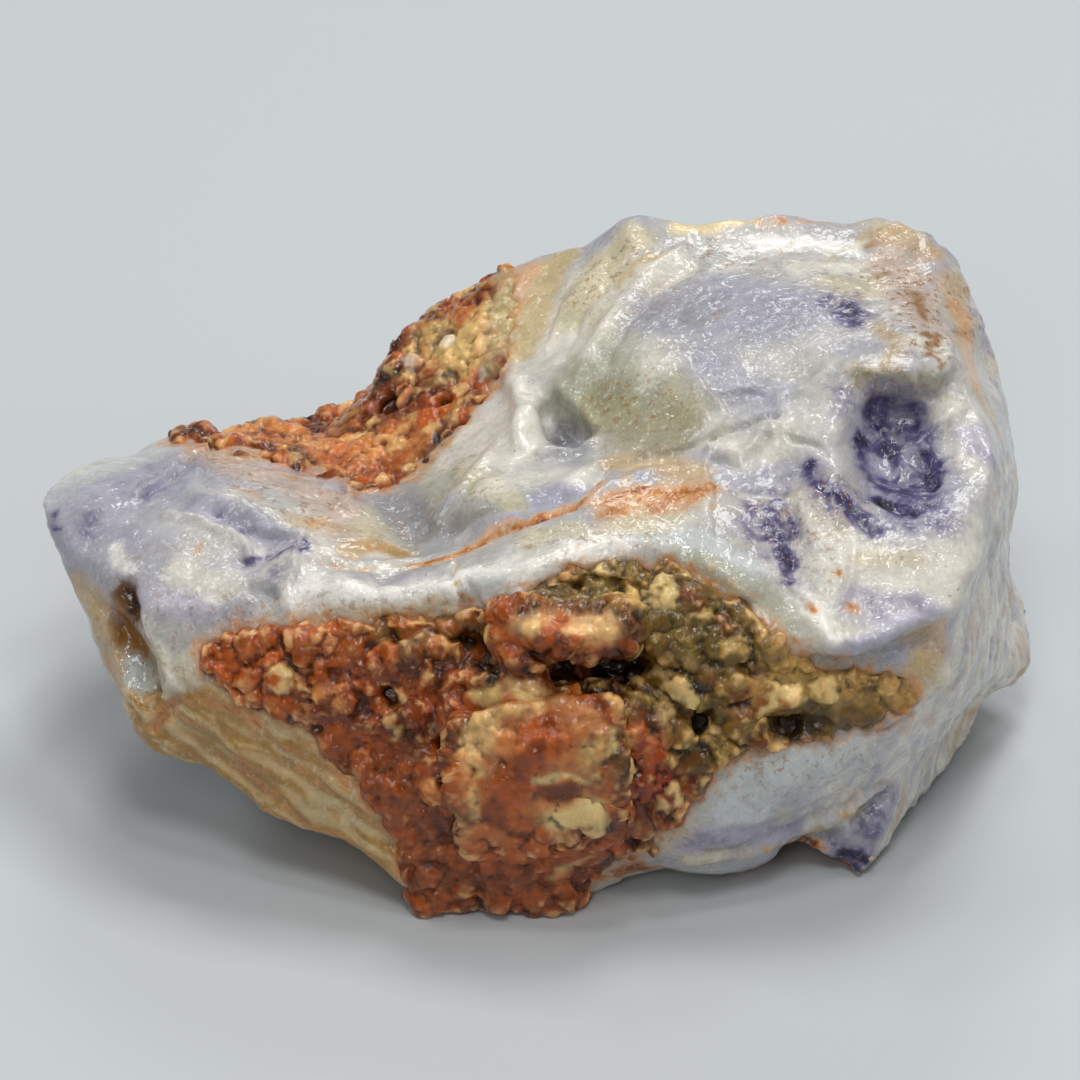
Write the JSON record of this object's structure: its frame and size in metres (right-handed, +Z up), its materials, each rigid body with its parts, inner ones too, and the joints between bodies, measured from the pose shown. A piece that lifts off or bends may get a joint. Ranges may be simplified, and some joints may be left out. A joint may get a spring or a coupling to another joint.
{
  "type": "rough opal specimen",
  "caption": "Rough purple-grey common opal broken out in a lobed lump, with rusty granular host rock across its front and upper left edge.",
  "frame": {"origin": "on the flat facet the stone rests on, below the middle of the stone", "axes": "+Z up, +X along the stone's length from the thin left lobe to the thick right end, -Y towards its front"},
  "size_m": [0.0602, 0.0438, 0.0265],
  "materials": {
    "stone": "wet gloss"
  },
  "bodies": {
    "root": {"opal_stone": "stone"}
  },
  "joints": []
}
